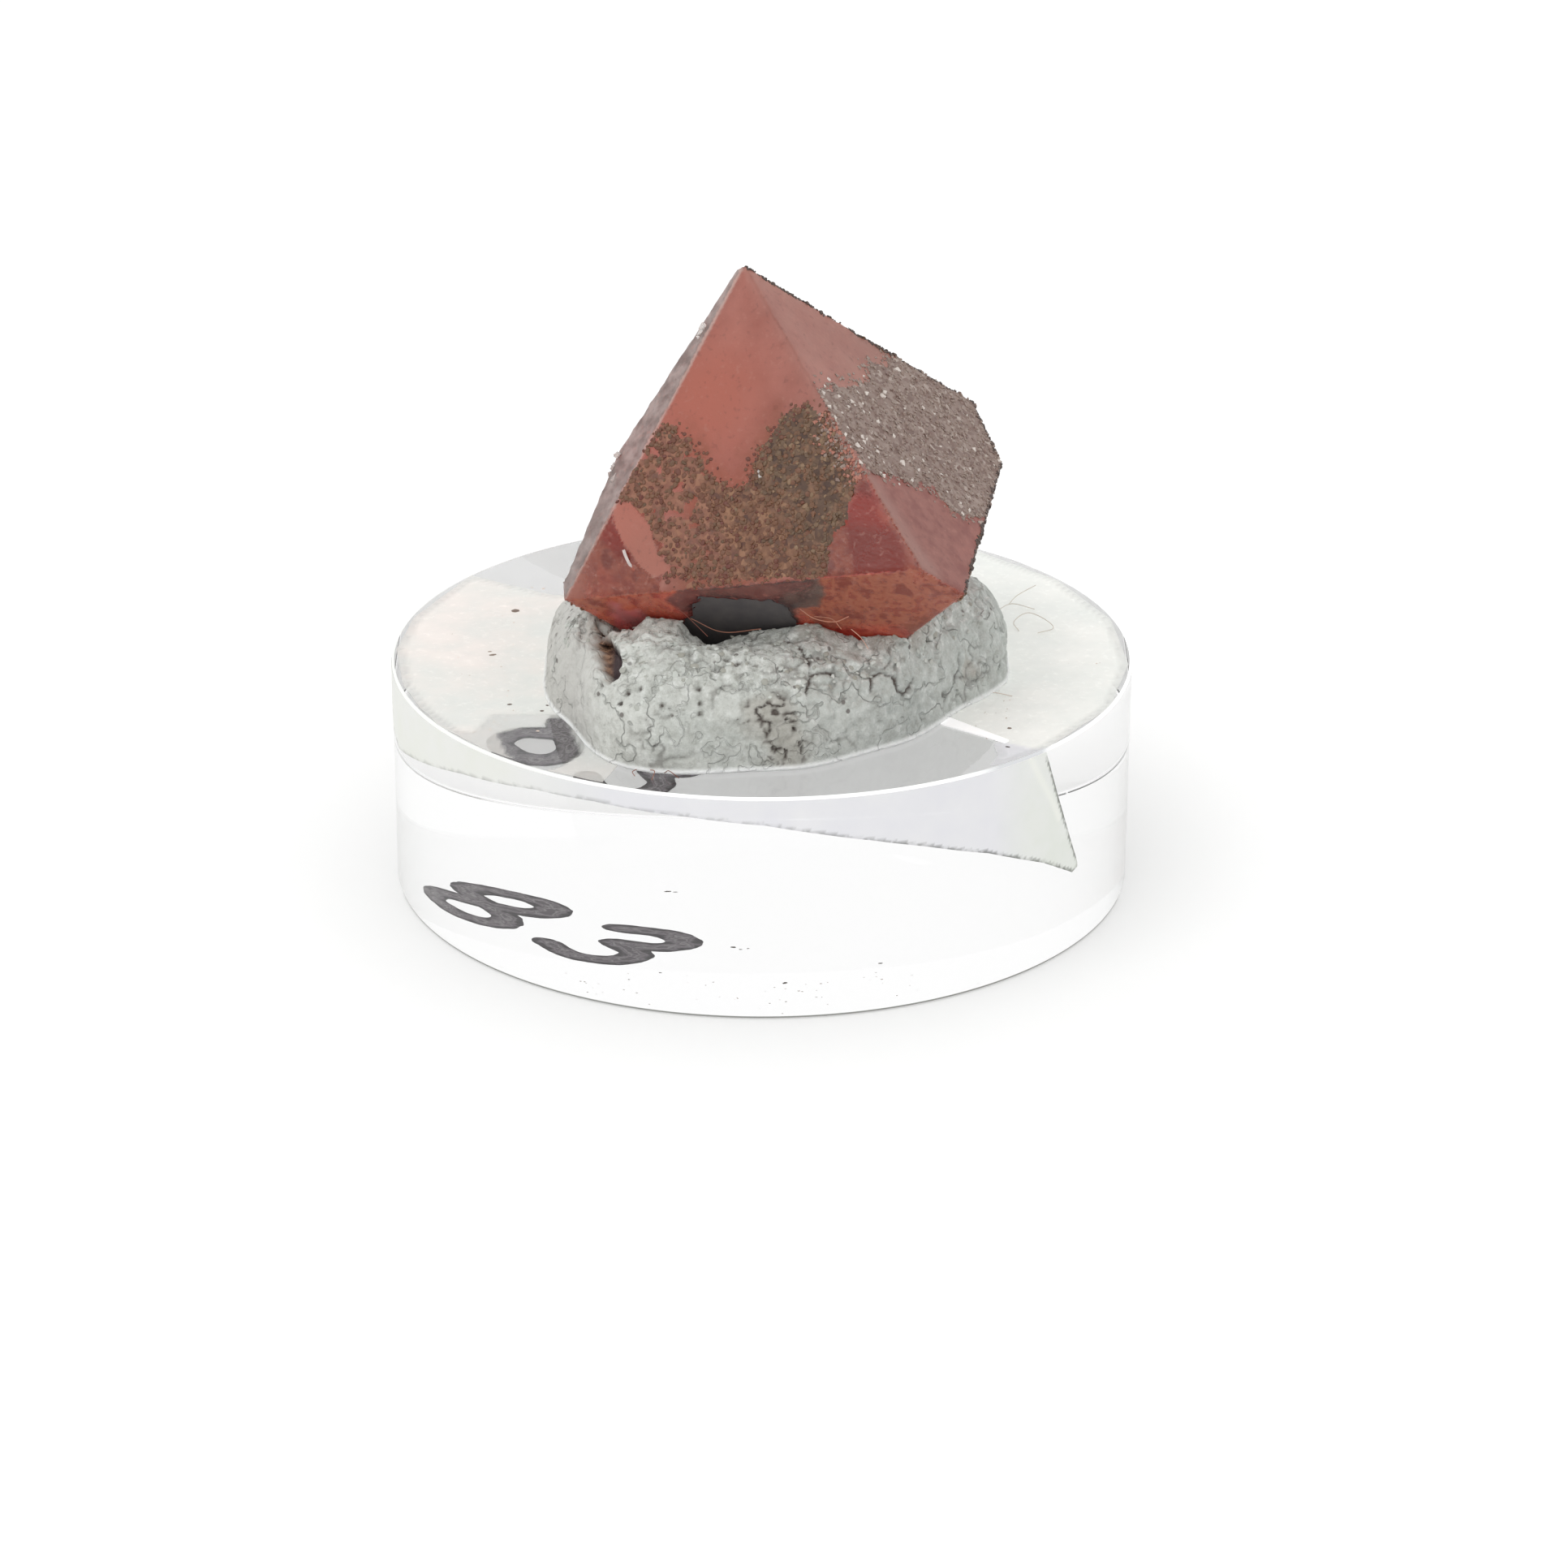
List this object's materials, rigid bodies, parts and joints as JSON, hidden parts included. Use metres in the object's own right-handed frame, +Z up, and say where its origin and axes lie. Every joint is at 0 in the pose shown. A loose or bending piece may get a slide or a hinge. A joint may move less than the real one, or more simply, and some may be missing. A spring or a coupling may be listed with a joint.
{
  "type": "fluorite specimen",
  "caption": "Thumbnail mineral specimen: a pink-red fluorite octahedron set in mineral tack on a round clear acrylic base.",
  "frame": {"origin": "centre of the base's underside, where the specimen rests", "axes": "+Z up along the axis of the round base; +Y away from the side the crystal shows best; +X to its right"},
  "size_m": [0.032, 0.032, 0.028],
  "materials": {
    "fluorite": "translucent pink-red, frosted faces with a brown granular coating",
    "tack": "matte pale grey-green putty, pitted and cracked",
    "acrylic": "polished clear",
    "film": "cloudy clear film"
  },
  "bodies": {
    "root": {"fluorite_crystal": "fluorite", "mineral_tack": "tack", "acrylic_base": "acrylic", "film_flap": "film"}
  },
  "joints": []
}
